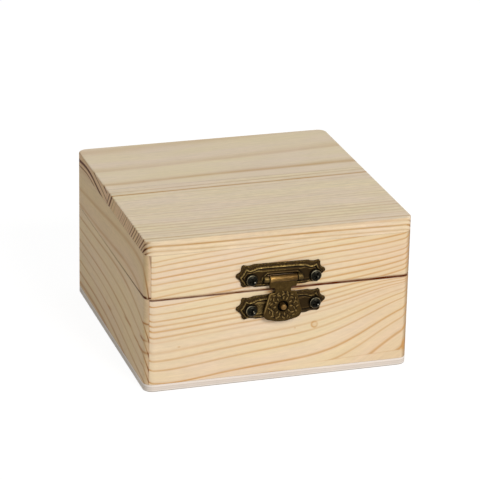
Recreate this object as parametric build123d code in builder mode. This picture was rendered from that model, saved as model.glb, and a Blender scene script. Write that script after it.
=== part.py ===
from build123d import *
import os
from math import cos, radians, sin

# Small hinged pine box with a hasp latch, in millimetres.
# +X is to the right, the latch faces -Y, +Z is up.
# The origin is the middle of the underside.

# Box
box_width = 100.0
box_depth = 100.0
bottom_thickness = 2.8
base_wall_height = 33.0
seam_gap = 0.3
lid_wall_height = 16.4
top_thickness = 5.4
wall = 7.0
corner_radius = 3.5
base_lap = 1.6
lid_lap = 2.1
top_joint_from_back = 45.5
top_edge_round = 0.6
bottom_edge_round = 0.4
seam_ease = 0.15

# Fits
running_fit = 0.06
seat_fit = 0.02
thread_fit = 0.02
screw_hole_play = 0.15

# Latch plates
latch_offset = 0.4
plate_reach = 16.8
plate_bump_reach = 13.9
bump_width = 0.9
plate_rise = 4.4
plate_flange = 0.7
plate_field = 1.0
plate_rim = 1.3
rim_width = 0.6
upper_rim_inset_top = 1.45
lower_rim_inset_top = 1.1
rim_inset_bottom = 0.8
rim_inset_bump = 0.9
rim_inset_tip = 2.8
# The arcs of half a plate's outline, from its top edge round the tip to its bottom edge. Each has
# a middle and an end, in bump widths past the bump, shares of the tip's length and of the rise.
arc_start_share = -4
plate_arcs = (
    ((-2, 0, 0.9), (0, 0, 0.97)),
    ((0.7, 0, 0.91), (1, 0, 0.73)),
    ((1, 0.15, 0.45), (1, 0.6, 0.27)),
    ((1, 1, 0.06), (1, 0.72, -0.15)),
    ((1, 0.27, -0.34), (0.9, 0, -0.6)),
    ((0.6, 0, -0.86), (-0.4, 0, -0.95)),
    ((-2.6, 0, -0.89), (-4.9, 0, -1)),
)
screw_spread = 12.0
screw_shift = 0.45
upper_plate_shift = -0.5
upper_plate_tilt = 1.0
upper_plate_above_axis = 1.15
upper_screw_drop = 1.35
lower_plate_shift = -0.2
lower_plate_tilt = -1.7
lower_screw_drop = 0.65
catch_drop = 6.5

# Latch hinge
axis_above_seam = 4.2
barrel_radius = 1.4
barrel_length = 10.3
barrel_clearance = 0.5
latch_pin_radius = 0.55
knuckle_radius = 1.25
knuckle_width = 1.9
knuckle_gap = 0.25
window_play = 0.35
frame_width = 0.45
frame_height = 2.3
frame_corner = 2.2
frame_foot = 1.9

# Tongue
tongue_thickness = 0.75
tongue_clearance = 0.35
flange_drop = 3.45
neck_width = 6.0
tongue_shoulder_width = 10.2
tongue_width = 14.4
tongue_above_hole = 5.4
tongue_widest_below_hole = 2.0
tongue_below_hole = 6.0
tongue_side_arc_width = 13.4
tongue_side_arc_rise = 1.9
tongue_end_arc_width = 8.9
tongue_end_arc_rise = 0.75
tongue_hole_radius = 2.15
neck_round = 0.5
shoulder_round = 0.7
catch_pin_radius = 1.1
catch_pin_reach = 1.6
catch_pin_round = 0.7

# Screw heads, as shares of their radius and height
crown_share = 0.4
side_share = 0.2
round_radius_share = 0.78
round_height_share = 0.8

# Latch screws
screw_head_radius = 2.2
screw_head_height = 1.6
screw_shank_radius = 0.95
screw_tip_cover = 1.5
screw_tip_length = 1.6
cross_length = 2.5
cross_width = 0.6
cross_depth = 0.9

# Back hinges
hinge_from_side = 22.0
hinge_length = 18.0
hinge_leaf_height = 7.6
hinge_leaf_thickness = 0.7
hinge_leaf_round = 1.2
hinge_knuckle_radius = 1.3
hinge_middle_knuckle = 6.0
hinge_pin_radius = 0.55
hinge_clearance = 0.25
hinge_screw_spread = 5.6
hinge_screw_height = 4.7
hinge_head_radius = 1.4
hinge_head_height = 0.6
hinge_shank_radius = 0.75
hinge_cross_length = 1.7
hinge_cross_width = 0.35
hinge_cross_depth = 0.35

# Levels
base_rim = bottom_thickness + base_wall_height
lid_rim = base_rim + seam_gap
panel_level = lid_rim + lid_wall_height
box_height = panel_level + top_thickness
seam_middle = base_rim + seam_gap / 2
top_joint = box_depth / 2 - top_joint_from_back

# Distances out from the front face
axis_out = barrel_radius + barrel_clearance
tongue_out = plate_rim + tongue_clearance
tongue_front = tongue_out + tongue_thickness
screw_reach = wall - screw_tip_cover

# Heights of the latch
latch_axis = seam_middle + axis_above_seam
upper_plate_middle = latch_axis + upper_plate_above_axis
catch_height = seam_middle - catch_drop
hole_drop = latch_axis - catch_height

# Distances out from the back face
hinge_axis_out = hinge_knuckle_radius + hinge_clearance


def front_plane(height, tilt=0.0):
    """Plane on the front face, centred on the latch, with its right end lower by the tilt."""
    slope = radians(tilt)
    return Plane(
        origin=(latch_offset, -box_depth / 2, height),
        x_dir=(cos(slope), 0, -sin(slope)),
        z_dir=(0, -1, 0),
    )


def back_plane(across):
    """Plane on the back face at the seam, seen from behind."""
    return Plane(
        origin=(across, box_depth / 2, seam_middle), x_dir=(-1, 0, 0), z_dir=(0, 1, 0)
    )


def axis_plane(face_plane, out, start):
    """Plane square to the hinge axis that lies at a distance out from a face."""
    return Plane(
        origin=face_plane.from_local_coords((start, 0, out)),
        x_dir=face_plane.z_dir,
        z_dir=face_plane.x_dir,
    )


def finish(piece, name):
    """Labels a finished piece and writes it."""
    piece.label = name
    export_step(piece, f"parts/{name}.step")


def board_outline(side, lap):
    """Plan of a wall board: a plain end in its neighbour's rabbet, and a rabbet with a thin lap."""
    along_x, along_y = {
        "front": (1, 0),
        "right": (0, 1),
        "back": (-1, 0),
        "left": (0, -1),
    }[side]
    half_length, face_distance = (
        (box_width / 2, box_depth / 2) if along_x else (box_depth / 2, box_width / 2)
    )
    corners = [
        (-half_length + lap, 0),
        (half_length, 0),
        (half_length, lap),
        (half_length - wall, lap),
        (half_length - wall, wall),
        (-half_length + lap, wall),
    ]
    return [
        (
            along_x * u + along_y * (face_distance - v),
            along_y * u - along_x * (face_distance - v),
        )
        for u, v in corners
    ]


def scalloped_face(bump_reach, tip_reach, top, bottom):
    """Latch plate outline with a pointed tip at each end and a bump at each corner."""
    tip_length = tip_reach - bump_reach - bump_width
    with BuildSketch() as face:
        with BuildLine():
            for side in (-1, 1):
                start = (side * (bump_reach + arc_start_share * bump_width), top)
                Line((0, top), start)
                for arc in plate_arcs:
                    middle, end = [
                        (
                            side * (bump_reach + along * bump_width + share * tip_length),
                            rise * (top if rise > 0 else bottom),
                        )
                        for along, share, rise in arc
                    ]
                    ThreePointArc(start, middle, end)
                    start = end
                Line(start, (0, -bottom))
        make_face()
    return face.sketch


def latch_plate(plane, shift, inset_top, screw_places):
    """Flat border, raised rim, lower field and screw seats of a latch plate on the given plane."""
    rim_bump = plate_bump_reach - rim_inset_bump
    rim_tip = plate_reach - rim_inset_tip
    rim_top = plate_rise - inset_top
    rim_bottom = plate_rise - rim_inset_bottom
    with BuildPart() as plate:
        with BuildSketch(plane):
            with Locations((shift, 0)):
                add(scalloped_face(plate_bump_reach, plate_reach, plate_rise, plate_rise))
        extrude(amount=plate_flange)
        with BuildSketch(plane):
            with Locations((shift, 0)):
                add(scalloped_face(rim_bump, rim_tip, rim_top, rim_bottom))
        extrude(amount=plate_rim)
        with BuildSketch(plane.offset(plate_field)):
            with Locations((shift, 0)):
                add(
                    scalloped_face(
                        rim_bump - rim_width,
                        rim_tip - rim_width,
                        rim_top - rim_width,
                        rim_bottom - rim_width,
                    )
                )
            with Locations(*screw_places):
                Circle(screw_head_radius + screw_hole_play)
        extrude(amount=plate_rim - plate_field, mode=Mode.SUBTRACT)
    return plate.part


def cross_head_screw(head_radius, head_height, shank_radius, length, cross):
    """Screw along Z with its head on the XY plane and its point below."""
    tip = min(screw_tip_length, length / 2)
    crown = crown_share * head_radius
    side_height = side_share * head_height
    arm, slot, depth = cross
    with BuildPart() as screw:
        with BuildSketch(Plane.XZ):
            with BuildLine():
                Polyline(
                    (crown, head_height),
                    (0, head_height),
                    (0, -length),
                    (shank_radius, tip - length),
                    (shank_radius, 0),
                    (head_radius, 0),
                    (head_radius, side_height),
                )
                ThreePointArc(
                    (head_radius, side_height),
                    (round_radius_share * head_radius, round_height_share * head_height),
                    (crown, head_height),
                )
            make_face()
        revolve(axis=Axis.Z)
        with BuildSketch(Plane.XY.offset(head_height)):
            Rectangle(arm, slot)
            Rectangle(slot, arm)
        extrude(amount=-depth, mode=Mode.SUBTRACT)
    return screw.part


os.makedirs("parts", exist_ok=True)

# The two halves of the box as they are sawn and sanded in one piece
with BuildPart() as base_block:
    with BuildSketch():
        RectangleRounded(box_width, box_depth, corner_radius)
    extrude(amount=base_rim)
    fillet(base_block.edges().group_by(Axis.Z)[0], bottom_edge_round)
    chamfer(base_block.edges().group_by(Axis.Z)[-1], seam_ease)

with BuildPart() as lid_block:
    with BuildSketch(Plane.XY.offset(lid_rim)):
        RectangleRounded(box_width, box_depth, corner_radius)
    extrude(amount=box_height - lid_rim)
    fillet(lid_block.edges().group_by(Axis.Z)[-1], top_edge_round)
    chamfer(lid_block.edges().group_by(Axis.Z)[0], seam_ease)

# Screw places
upper_plate_plane = front_plane(upper_plate_middle, upper_plate_tilt)
lower_plate_plane = front_plane(catch_height, lower_plate_tilt)
upper_screw_places = [(screw_shift + side * screw_spread, -upper_screw_drop) for side in (-1, 1)]
lower_screw_places = [(screw_shift + side * screw_spread, -lower_screw_drop) for side in (-1, 1)]
hinge_spread = box_width / 2 - hinge_from_side
hinge_planes = [back_plane(side * hinge_spread) for side in (1, -1)]

# Wall boards
walls = (
    ("base", bottom_thickness, base_wall_height, base_lap, base_block, -1),
    ("lid", lid_rim, lid_wall_height, lid_lap, lid_block, 1),
)
for half, level, height, lap, block, hinge_side in walls:
    for side in ("front", "right", "back", "left"):
        with BuildPart() as board:
            with BuildSketch(Plane.XY.offset(level)):
                Polygon(*board_outline(side, lap), align=None)
            extrude(amount=height)
            add(block.part, mode=Mode.INTERSECT)
            if side == "front":
                plate_plane = lower_plate_plane if half == "base" else upper_plate_plane
                places = lower_screw_places if half == "base" else upper_screw_places
                with BuildSketch(plate_plane):
                    with Locations(*places):
                        Circle(screw_shank_radius + thread_fit)
                extrude(amount=-screw_reach, mode=Mode.SUBTRACT)
            if side == "back":
                for hinge_plane in hinge_planes:
                    with BuildSketch(hinge_plane):
                        with Locations(
                            (-hinge_screw_spread, hinge_side * hinge_screw_height),
                            (hinge_screw_spread, hinge_side * hinge_screw_height),
                        ):
                            Circle(hinge_shank_radius + thread_fit)
                    extrude(amount=-screw_reach, mode=Mode.SUBTRACT)
        finish(board.part, f"{half}_{side}_board")

# Plywood bottom, flush with the walls
with BuildPart() as bottom_panel:
    with BuildSketch():
        Rectangle(box_width, box_depth)
    extrude(amount=bottom_thickness)
    add(base_block.part, mode=Mode.INTERSECT)
finish(bottom_panel.part, "base_bottom_panel")

# Top of the lid, two boards glued edge to edge
top_boards = (
    ("lid_top_back_board", top_joint, box_depth / 2),
    ("lid_top_front_board", -box_depth / 2, top_joint),
)
for name, near, far in top_boards:
    with BuildPart() as top_board:
        with BuildSketch(Plane.XY.offset(panel_level)):
            with Locations((0, (near + far) / 2)):
                Rectangle(box_width, far - near)
        extrude(amount=top_thickness)
        add(lid_block.part, mode=Mode.INTERSECT)
    finish(top_board.part, name)

# Latch upper plate with its window, window frame and two knuckles
latch_axis_plane = front_plane(latch_axis)
knuckle_start = barrel_length / 2 + knuckle_gap
frame_reach = knuckle_start + knuckle_width + frame_width
frame_top_reach = frame_reach - frame_corner
with BuildPart() as latch_upper_plate:
    add(latch_plate(upper_plate_plane, upper_plate_shift, upper_rim_inset_top, upper_screw_places))
    with BuildSketch(upper_plate_plane):
        with Locations((0, -upper_plate_above_axis)):
            Polygon(
                (-frame_reach, -frame_foot),
                (frame_reach, -frame_foot),
                (frame_reach, frame_height - frame_corner),
                (frame_top_reach, frame_height),
                (-frame_top_reach, frame_height),
                (-frame_reach, frame_height - frame_corner),
                align=None,
            )
    extrude(amount=plate_rim)
    with BuildSketch(upper_plate_plane.offset(plate_field)):
        with Locations((0, -upper_plate_above_axis)):
            Polygon(
                (frame_width - frame_reach, -frame_foot),
                (frame_reach - frame_width, -frame_foot),
                (frame_reach - frame_width, frame_height - frame_corner),
                (frame_top_reach - frame_width / 2, frame_height - frame_width),
                (frame_width / 2 - frame_top_reach, frame_height - frame_width),
                (frame_width - frame_reach, frame_height - frame_corner),
                align=None,
            )
    extrude(amount=plate_rim - plate_field, mode=Mode.SUBTRACT)
    with BuildSketch(upper_plate_plane):
        with Locations((0, -upper_plate_above_axis)):
            Rectangle(2 * knuckle_start, 2 * (barrel_radius + window_play))
        with Locations(*upper_screw_places):
            Circle(screw_shank_radius + screw_hole_play)
    extrude(amount=plate_rim, mode=Mode.SUBTRACT)
    for start in (-knuckle_start - knuckle_width, knuckle_start):
        with BuildSketch(axis_plane(latch_axis_plane, axis_out, start)):
            Circle(knuckle_radius)
            with Locations((-axis_out / 2, 0)):
                Rectangle(axis_out, 2 * knuckle_radius)
        extrude(amount=knuckle_width)
    with BuildSketch(axis_plane(latch_axis_plane, axis_out, -frame_reach)):
        Circle(latch_pin_radius + seat_fit)
    extrude(amount=2 * frame_reach, mode=Mode.SUBTRACT)
finish(latch_upper_plate.part, "latch_upper_plate")

# Latch hinge pin, held in the plate's knuckles
latch_pin_reach = knuckle_start + knuckle_width
with BuildPart() as latch_hinge_pin:
    with BuildSketch(axis_plane(latch_axis_plane, axis_out, -latch_pin_reach)):
        Circle(latch_pin_radius)
    extrude(amount=2 * latch_pin_reach)
finish(latch_hinge_pin.part, "latch_hinge_pin")

# Latch tongue: rolled barrel, flange, neck and a flared body with the catch hole
body_top = tongue_above_hole - hole_drop
body_widest = -hole_drop - tongue_widest_below_hole
body_end = -hole_drop - tongue_below_hole
neck_split = (neck_width + tongue_shoulder_width) / 4
flange_split = (body_top - flange_drop) / 2
with BuildPart() as latch_tongue:
    with BuildSketch(latch_axis_plane.offset(tongue_out)) as tongue_sheet:
        with BuildLine():
            for side in (-1, 1):
                shoulder = side * tongue_shoulder_width / 2
                widest = side * tongue_width / 2
                Line((0, 0), (side * barrel_length / 2, 0))
                Line((side * barrel_length / 2, 0), (side * barrel_length / 2, -flange_drop))
                Line((side * barrel_length / 2, -flange_drop), (side * neck_width / 2, -flange_drop))
                Line((side * neck_width / 2, -flange_drop), (side * neck_width / 2, body_top))
                Line((side * neck_width / 2, body_top), (shoulder, body_top))
                Line((shoulder, body_top), (widest, body_widest))
                ThreePointArc(
                    (widest, body_widest),
                    (side * tongue_side_arc_width / 2, body_end + tongue_side_arc_rise),
                    (side * tongue_end_arc_width / 2, body_end + tongue_end_arc_rise),
                )
            ThreePointArc(
                (-tongue_end_arc_width / 2, body_end + tongue_end_arc_rise),
                (0, body_end),
                (tongue_end_arc_width / 2, body_end + tongue_end_arc_rise),
            )
        make_face()
        shoulder_corners = (
            tongue_sheet.vertices()
            .filter_by_position(Axis.Y, body_top - neck_round, body_top + neck_round)
            .filter_by(lambda corner: abs(corner.X) > neck_split)
        )
        fillet(shoulder_corners, shoulder_round)
        neck_corners = (
            tongue_sheet.vertices()
            .filter_by_position(Axis.Y, body_top - neck_round, neck_round - flange_drop)
            .filter_by(lambda corner: abs(corner.X) < neck_split or corner.Y > flange_split)
        )
        fillet(neck_corners, neck_round)
        with Locations((0, -hole_drop)):
            Circle(tongue_hole_radius, mode=Mode.SUBTRACT)
    extrude(amount=tongue_thickness)
    with BuildSketch(axis_plane(latch_axis_plane, axis_out, -barrel_length / 2)):
        Circle(barrel_radius)
    extrude(amount=barrel_length)
    with BuildSketch(axis_plane(latch_axis_plane, axis_out, -barrel_length / 2)):
        Circle(latch_pin_radius + running_fit)
    extrude(amount=barrel_length, mode=Mode.SUBTRACT)
finish(latch_tongue.part, "latch_tongue")

# Latch lower plate
with BuildPart() as latch_lower_plate:
    add(latch_plate(lower_plate_plane, lower_plate_shift, lower_rim_inset_top, lower_screw_places))
    with BuildSketch(lower_plate_plane):
        Circle(catch_pin_radius + seat_fit)
        with Locations(*lower_screw_places):
            Circle(screw_shank_radius + screw_hole_play)
    extrude(amount=plate_rim, mode=Mode.SUBTRACT)
finish(latch_lower_plate.part, "latch_lower_plate")

# Catch pin, riveted in the lower plate and standing through the tongue
with BuildPart() as catch_pin:
    with BuildSketch(lower_plate_plane):
        Circle(catch_pin_radius)
    extrude(amount=tongue_front + catch_pin_reach)
    fillet(catch_pin.edges().group_by(Axis.Y)[0], catch_pin_round)
finish(catch_pin.part, "catch_pin")

# Latch screws
latch_screw = cross_head_screw(
    screw_head_radius,
    screw_head_height,
    screw_shank_radius,
    plate_field + screw_reach,
    (cross_length, cross_width, cross_depth),
)
latch_screw_groups = (
    ("latch_upper_screws", upper_plate_plane, upper_screw_places, (12, -20)),
    ("latch_lower_screws", lower_plate_plane, lower_screw_places, (-8, 25)),
)
for name, plate_plane, places, turns in latch_screw_groups:
    with BuildPart() as screws:
        for place, turn in zip(places, turns):
            with Locations(plate_plane.location * Location((*place, plate_field), (0, 0, turn))):
                add(latch_screw)
    finish(screws.part, name)

# Back hinges, each with two leaves and a pin
outer_knuckle = (hinge_length - hinge_middle_knuckle) / 2 - hinge_clearance
outer_knuckle_middle = (hinge_length - outer_knuckle) / 2
leaves = (
    ("base_leaf", -1, (-outer_knuckle_middle, outer_knuckle_middle), outer_knuckle, seat_fit),
    ("lid_leaf", 1, (0,), hinge_middle_knuckle, running_fit),
)
for hinge_name, hinge_plane in zip(("right_hinge", "left_hinge"), hinge_planes):
    for leaf_name, side, knuckles, knuckle_length, fit in leaves:
        with BuildPart() as leaf:
            with BuildSketch(hinge_plane) as leaf_sheet:
                with Locations((0, side * (hinge_axis_out + hinge_leaf_height) / 2)):
                    Rectangle(hinge_length, hinge_leaf_height - hinge_axis_out)
                far_corners = leaf_sheet.vertices().sort_by(Axis.Y, reverse=side > 0)[:2]
                fillet(far_corners, hinge_leaf_round)
                with Locations(*[(middle, side * hinge_axis_out / 2) for middle in knuckles]):
                    Rectangle(knuckle_length, hinge_axis_out)
                with Locations(
                    (-hinge_screw_spread, side * hinge_screw_height),
                    (hinge_screw_spread, side * hinge_screw_height),
                ):
                    Circle(hinge_shank_radius + screw_hole_play, mode=Mode.SUBTRACT)
            extrude(amount=hinge_leaf_thickness)
            for middle in knuckles:
                with BuildSketch(axis_plane(hinge_plane, hinge_axis_out, middle - knuckle_length / 2)):
                    Circle(hinge_knuckle_radius)
                extrude(amount=knuckle_length)
            with BuildSketch(axis_plane(hinge_plane, hinge_axis_out, -hinge_length / 2)):
                Circle(hinge_pin_radius + fit)
            extrude(amount=hinge_length, mode=Mode.SUBTRACT)
        finish(leaf.part, f"{hinge_name}_{leaf_name}")
    with BuildPart() as hinge_pin:
        with BuildSketch(axis_plane(hinge_plane, hinge_axis_out, -hinge_length / 2)):
            Circle(hinge_pin_radius)
        extrude(amount=hinge_length)
    finish(hinge_pin.part, f"{hinge_name}_pin")

# Hinge screws
hinge_screw = cross_head_screw(
    hinge_head_radius,
    hinge_head_height,
    hinge_shank_radius,
    hinge_leaf_thickness + screw_reach,
    (hinge_cross_length, hinge_cross_width, hinge_cross_depth),
)
for name, side in (("hinge_base_screws", -1), ("hinge_lid_screws", 1)):
    with BuildPart() as screws:
        for hinge_plane in hinge_planes:
            for end in (-1, 1):
                place = (end * hinge_screw_spread, side * hinge_screw_height, hinge_leaf_thickness)
                with Locations(hinge_plane.location * Location(place, (0, 0, 30 * end))):
                    add(hinge_screw)
    finish(screws.part, name)
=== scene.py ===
import cmath
import math
import random

import bpy
import numpy as np
from mathutils import Matrix, Vector
from mathutils.geometry import delaunay_2d_cdt


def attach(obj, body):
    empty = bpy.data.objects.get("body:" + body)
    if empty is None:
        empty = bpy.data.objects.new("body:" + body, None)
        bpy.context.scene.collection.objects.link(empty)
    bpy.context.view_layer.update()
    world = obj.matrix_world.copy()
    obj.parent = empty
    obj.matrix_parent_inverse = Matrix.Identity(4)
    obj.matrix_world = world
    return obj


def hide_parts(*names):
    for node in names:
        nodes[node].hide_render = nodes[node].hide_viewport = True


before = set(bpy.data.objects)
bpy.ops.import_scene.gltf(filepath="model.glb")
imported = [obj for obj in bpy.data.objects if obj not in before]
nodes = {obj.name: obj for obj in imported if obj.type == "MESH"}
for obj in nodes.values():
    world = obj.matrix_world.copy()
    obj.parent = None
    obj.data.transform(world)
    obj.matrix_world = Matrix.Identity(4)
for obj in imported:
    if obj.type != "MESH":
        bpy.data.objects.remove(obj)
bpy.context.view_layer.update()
MM = 0.001

# Sizes of the box and places of its glue lines, in millimetres
HALF_SIDE = 50.0
BOX_HEIGHT = 57.9
PANEL_TOP = 5.4
PLYWOOD = 2.8
LID_CORNER = HALF_SIDE - 2.1
BASE_CORNER = HALF_SIDE - 1.6
TOP_JOINT = HALF_SIDE - 45.5
SEAM = 35.95


def unit(values):
    return np.clip(values, 0, 1)


# ---- shader helper


class Value:
    """A node's output. Arithmetic on it adds the nodes that work out the result."""

    def __init__(self, shader, socket):
        self.shader = shader
        self.socket = socket

    def math(self, operation, *others, clamp=False):
        inputs = dict(enumerate((self, *others)))
        return self.shader.value("ShaderNodeMath", inputs, operation=operation, use_clamp=clamp)

    def __add__(self, other):
        return self.math("ADD", other)

    def __sub__(self, other):
        return self.math("SUBTRACT", other)

    def __rsub__(self, other):
        return self * -1 + other

    def __mul__(self, other):
        return self.math("MULTIPLY", other)

    def __truediv__(self, number):
        return self * (1 / number)

    def __abs__(self):
        return self.math("ABSOLUTE")

    def bell(self):
        """One at zero, falling off with the square of the value."""
        return (self * self * -1).math("EXPONENT")

    def ramp(self, low, high, new_low=0.0, new_high=1.0, kind="LINEAR"):
        """Turns low to high into new_low to new_high, held beyond both ends."""
        inputs = {0: self, 1: low, 2: high, 3: new_low, 4: new_high}
        return self.shader.value("ShaderNodeMapRange", inputs, interpolation_type=kind)

    def ease(self, low, high, new_low=0.0, new_high=1.0):
        """A ramp with soft ends."""
        return self.ramp(low, high, new_low, new_high, "SMOOTHSTEP")


def length(first, second):
    """Length of the vector with these two values as its parts."""
    return (first * first + second * second).math("SQRT")


class Shader:
    """A node tree, with short calls that add nodes and return their output."""

    def __init__(self, name, blocks=bpy.data.materials, output="Material"):
        self.block = blocks.new(name)
        self.block.use_nodes = True
        self.tree = self.block.node_tree
        self.tree.nodes.clear()
        self.output = self.add("ShaderNodeOutput" + output)

    def add(self, kind, inputs=None, **settings):
        node = self.tree.nodes.new(kind)
        for key, value in settings.items():
            setattr(node, key, value)
        for key, value in (inputs or {}).items():
            if isinstance(value, Value):
                self.tree.links.new(value.socket, node.inputs[key])
            else:
                node.inputs[key].default_value = value
        return node

    def value(self, kind, inputs=None, output=0, **settings):
        return Value(self, self.add(kind, inputs, **settings).outputs[output])

    def ray(self, kind):
        """One for rays of a kind, such as Camera."""
        return self.value("ShaderNodeLightPath", output=f"Is {kind} Ray")

    def millimetres(self):
        """The object's own coordinates in millimetres."""
        place = self.value("ShaderNodeTexCoord", output="Object")
        return self.value("ShaderNodeVectorMath", {0: place, "Scale": 1 / MM}, operation="SCALE")

    def vector(self, x, y, z):
        return self.value("ShaderNodeCombineXYZ", {0: x, 1: y, 2: z})

    def split(self, vector):
        return [Value(self, part) for part in self.add("ShaderNodeSeparateXYZ", {0: vector}).outputs]

    def normal(self):
        return self.split(self.value("ShaderNodeTexCoord", output="Normal"))

    def noise(self, place, scale=1.0, detail=2.0, roughness=0.5, distortion=0.0):
        """Noise at a place, which may be given as three coordinates."""
        if isinstance(place, tuple):
            place = self.vector(*place)
        inputs = {"Vector": place, "Scale": scale, "Detail": detail, "Roughness": roughness}
        inputs["Distortion"] = distortion
        return self.value("ShaderNodeTexNoise", inputs)

    def mix(self, factor, first, second, blend="MIX"):
        inputs = {0: factor, 6: first, 7: second}
        return self.value("ShaderNodeMix", inputs, 2, data_type="RGBA", blend_type=blend)

    def tinted(self, colour, tint, factor=1.0):
        """A colour times a tint or a grey."""
        return self.mix(factor, colour, tint, "MULTIPLY")

    def curve(self, value, samples):
        """A float curve through evenly spaced samples over 0 to 1."""
        node = self.add("ShaderNodeFloatCurve", {1: value})
        points = node.mapping.curves[0].points
        last = len(samples) - 1
        points[0].location = (0.0, samples[0])
        points[1].location = (1.0, samples[last])
        for place in range(1, last):
            points.new(place / last, samples[place])
        for point in points:
            point.handle_type = "VECTOR"
        node.mapping.update()
        return Value(self, node.outputs[0])

    def bump(self, height, strength, distance):
        inputs = {"Height": height, "Strength": strength, "Distance": distance}
        return self.value("ShaderNodeBump", inputs)

    def finish(self, surface):
        """Links the surface to the output and returns what the tree belongs to."""
        self.tree.links.new(surface.socket, self.output.inputs[0])
        return self.block

    def surface(self, **inputs):
        named = {key.replace("_", " "): value for key, value in inputs.items()}
        return self.finish(self.value("ShaderNodeBsdfPrincipled", named))


def linear(red, green, blue):
    """A colour written as 0 to 255 screen values, in linear light."""
    channels = []
    for level in (red, green, blue):
        share = level / 255
        channels.append(share / 12.92 if share <= 0.04045 else ((share + 0.055) / 1.055) ** 2.4)
    return (*channels, 1.0)


# ---- pine

FRONT_WOOD = linear(226, 206, 177)
# Painted shade: darker copies of the pine for the side boards
SHADED_SIDE_WOOD = linear(212, 187, 148)
SHADED_LID_LEFT_WOOD = linear(208, 181, 141)
TOP_WOOD = linear(227, 210, 184)
LATEWOOD = linear(198, 150, 92)
# Painted shade: a darker late wood for the left boards
SHADED_LEFT_LATEWOOD = linear(176, 128, 74)
TOP_LATEWOOD = linear(184, 140, 82)
END_LATEWOOD = linear(96, 58, 34)
# Painted shade of the seam between lid and base
PAINTED_SEAM_SHADE = linear(84, 32, 6)
GLUE_LINE = linear(120, 74, 44)

# A board's rings are the levels of a field: the distance across the board plus a polynomial of the
# places along and across it, plus a slope through its thickness. Rows are powers across.
LID_FRONT_FIELD = (
    (4.19, 4.95, -1.52, -2.35, 2.0, 2.72),
    (-0.01, -0.13, 0.13, 1.38, 0.69, -0.84),
    (-0.56, -0.31, 1.53, 1.42, -1.48, -0.58),
)
BASE_FRONT_FIELD = (
    (2.9, 4.37, 4.26, 11.23, 7.68, -3.04, -4.44, -1.41),
    (-1.3, 2.81, 1.69, 3.07, 3.12, -0.8, -3.17, -1.89),
    (0.7, -0.27, -5.89, -1.79, 0.49, -1.07, 0.54, -0.51),
    (1.57, -5.13, -1.79, 4.11, 2.88, 0.61, 1.15, -0.89),
)
LID_LEFT_FIELD = (
    (2.68, 2.92, -0.65, -1.29, -1.96, -0.68),
    (-2.23, -0.83, 0.96, -1.26, -0.95, -0.36),
)
BASE_LEFT_FIELD = (
    (-0.95, -3.56, -3.72, 0.17, 0.71, -0.61, 0.04),
    (-2.26, -4.2, -0.89, 3.36, 1.64, -0.3, 0.16),
    (0.45, 1.1, 0.03, -0.42, -0.33, -0.3, -0.39),
)
TOP_BACK_FIELD = (
    (2.44, 2.71, -0.33, 1.84, 0.69, -1.96),
    (-0.66, -2.61, -1.34, 1.09, -0.2, -0.8),
    (0.05, -0.16, -0.5, 0.39, 0.01, -0.23),
)
TOP_FRONT_FIELD = (
    (0.2, 0.38, -0.18, -0.16, 0.28),
    (-0.46, -0.45, -0.19, -0.32, 0.13),
)
# How deep the rings lie through the top back board, by place across it
TOP_BACK_ARC = (3.4, 2.9, 2.4, 2.1, 2.3, 2.8, 3.9, 4.85, 5.85, 7.2, 9.2)
PLAIN_FIELD = ((0.0, 2.2, -1.1, 0.9), (0.3, -0.6, 0.5, 0.2))

# Middle and half width of a board's places across
LID_SPAN = (13.5, 8.0)
BASE_SPAN = (38.5, 16.5)

# Rings: level, strength and half width
LID_FRONT_RINGS = (
    (7.1, 0.6, 0.3), (9.2, 0.7, 0.3), (11.6, 0.8, 0.3), (14.0, 0.9, 0.32),
    (16.3, 0.75, 0.3), (18.6, 0.5, 0.3), (20.7, 0.65, 0.3), (23.2, 0.9, 0.32),
    (25.6, 0.95, 0.34), (27.8, 0.85, 0.32), (29.9, 1.0, 0.32),
)
BASE_FRONT_RINGS = (
    (23.6, 1.0, 0.34), (27.55, 0.7, 0.32), (30.65, 0.8, 0.3), (32.65, 0.75, 0.3),
    (34.6, 0.85, 0.3), (36.65, 0.75, 0.3), (38.15, 0.4, 0.26), (41.5, 0.42, 0.4),
    (44.3, 0.7, 0.32), (48.0, 0.75, 0.34), (54.4, 0.92, 0.46), (58.9, 0.7, 0.36),
    (64.8, 0.95, 0.5), (70.8, 1.0, 0.5),
)
TOP_BACK_RINGS = ((-2.2, 0.3, 0.3), (0.0, 1.0, 0.4), (3.0, 0.3, 0.3), (6.1, 0.6, 0.32), (8.6, 0.3, 0.4))
LID_LEFT_RINGS = ((6.5, 0.2, 1.0), (14.1, 0.62, 0.6), (20.2, 0.6, 0.5), (26.0, 0.6, 0.4))
BASE_LEFT_RINGS = (
    (26.0, 0.8, 0.42), (30.9, 0.62, 0.4), (35.7, 0.8, 0.42), (39.5, 0.5, 0.4),
    (44.1, 0.75, 0.42), (48.9, 0.95, 0.5), (52.9, 1.0, 0.7), (58.0, 0.9, 0.6),
)
TOP_FRONT_RINGS = (
    (46.9, 0.12, 0.4), (49.3, 0.55, 0.36), (52.5, 1.0, 0.5), (55.5, 0.2, 0.4), (58.8, 0.1, 0.5),
    (63.5, 0.06, 0.4), (66.2, 0.16, 0.3), (68.8, 0.2, 0.36), (70.4, 0.12, 0.26),
    (72.1, 0.2, 0.3), (74.3, 0.26, 0.3), (76.6, 0.1, 0.26), (78.6, 0.14, 0.3),
    (80.6, 0.14, 0.3), (82.8, 0.42, 0.34), (85.4, 0.48, 0.36), (88.0, 0.45, 0.34),
    (90.8, 0.45, 0.34), (93.0, 0.36, 0.36), (94.6, 0.2, 0.3), (97.0, 0.7, 0.36),
    (99.4, 0.45, 0.36), (101.6, 0.95, 0.4), (103.9, 0.6, 0.36), (106.2, 0.6, 0.36),
)


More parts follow.
